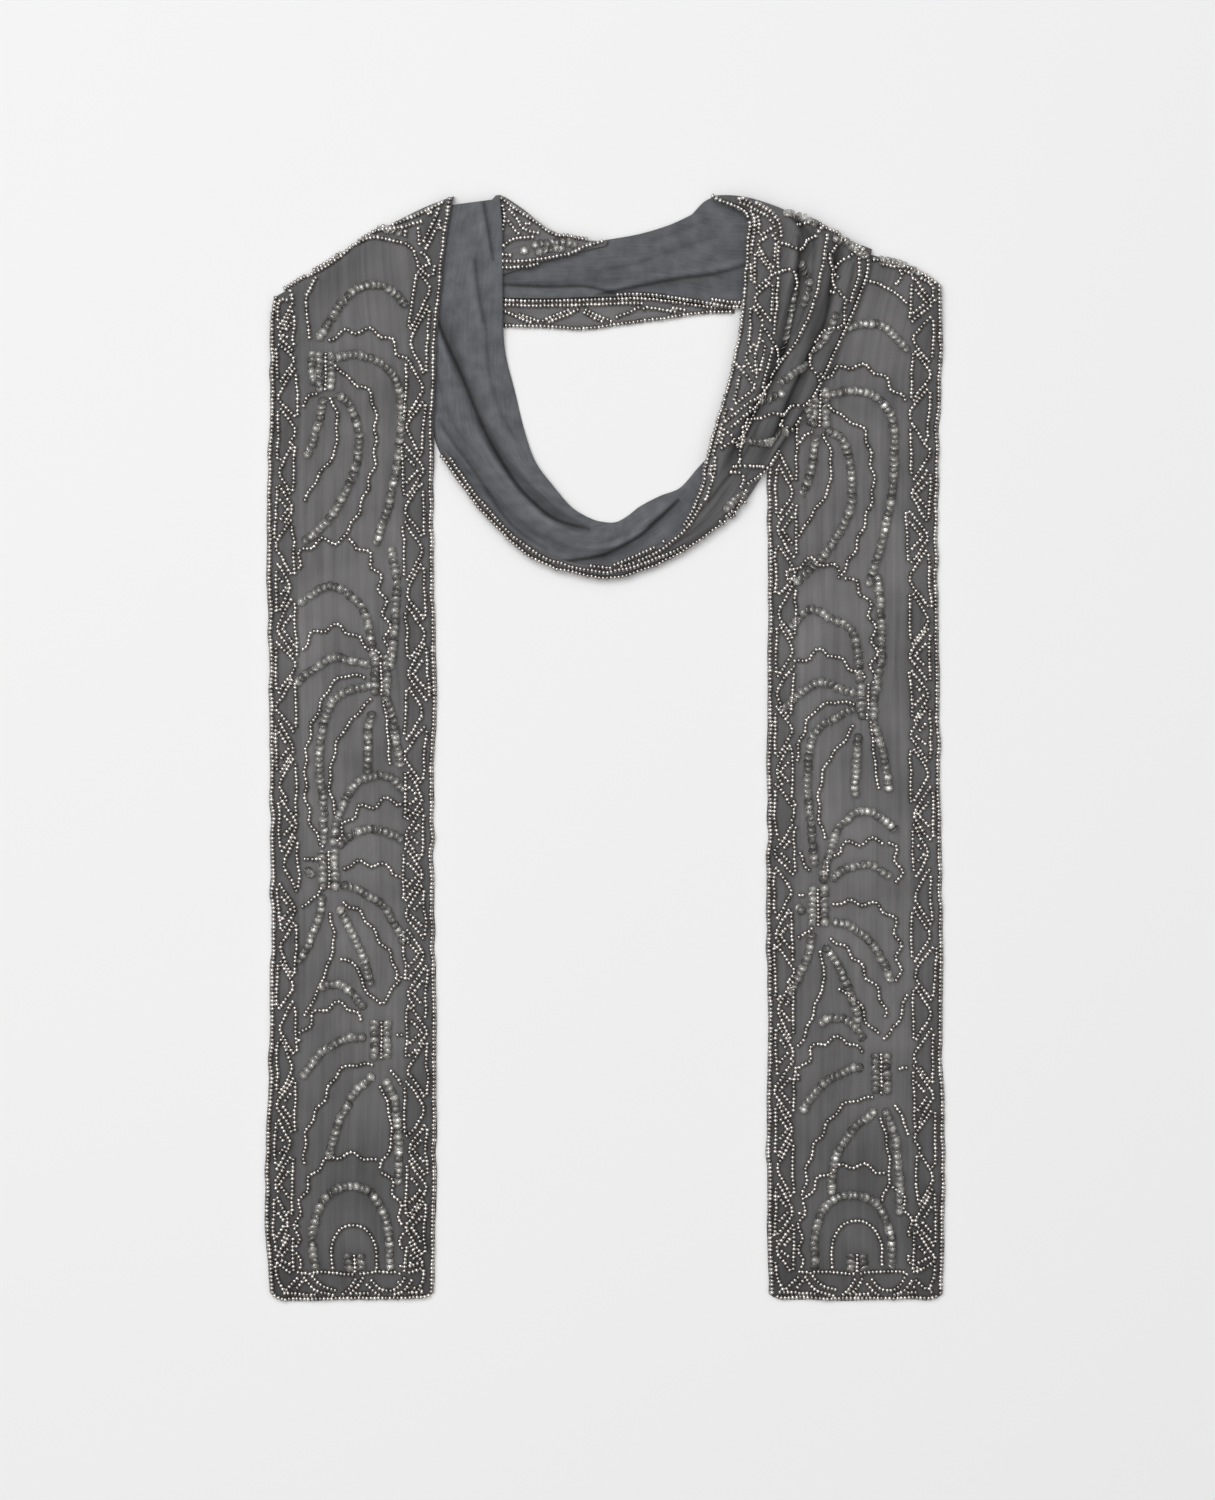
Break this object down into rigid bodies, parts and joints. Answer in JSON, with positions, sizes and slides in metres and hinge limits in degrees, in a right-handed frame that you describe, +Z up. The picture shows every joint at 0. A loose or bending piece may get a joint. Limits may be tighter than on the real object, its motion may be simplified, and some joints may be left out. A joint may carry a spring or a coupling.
{
  "type": "scarf",
  "caption": "Long narrow beaded gauze scarf laid flat, its middle drawn into a pleated neck loop between straight hanging ends.",
  "frame": {"origin": "centre of the bounding box, on the surface that the scarf lies on", "axes": "+Y along the hanging ends towards the neck loop, +Z up from the surface, +X to the right as seen from above"},
  "size_m": [0.367, 0.5971, 0.0113],
  "materials": {
    "left_tail": "crinkled gauze, beaded and sequinned face up",
    "right_tail": "crinkled gauze, beaded and sequinned face up",
    "loop_reverse": "plain gauze reverse, matt",
    "loop_face": "pleated gauze, beaded face up",
    "neck_reverse": "plain gauze reverse, matt",
    "neck_border": "gauze with a beaded border",
    "neck_fold": "gauze with a beaded border, turned over",
    "hidden_layers": "turned-under gauze layers"
  },
  "bodies": {
    "root": {"left_tail": "left_tail", "right_tail": "right_tail", "loop_reverse": "loop_reverse", "loop_face": "loop_face", "neck_reverse": "neck_reverse", "neck_border": "neck_border", "neck_fold": "neck_fold", "hidden_layers": "hidden_layers"}
  },
  "joints": []
}
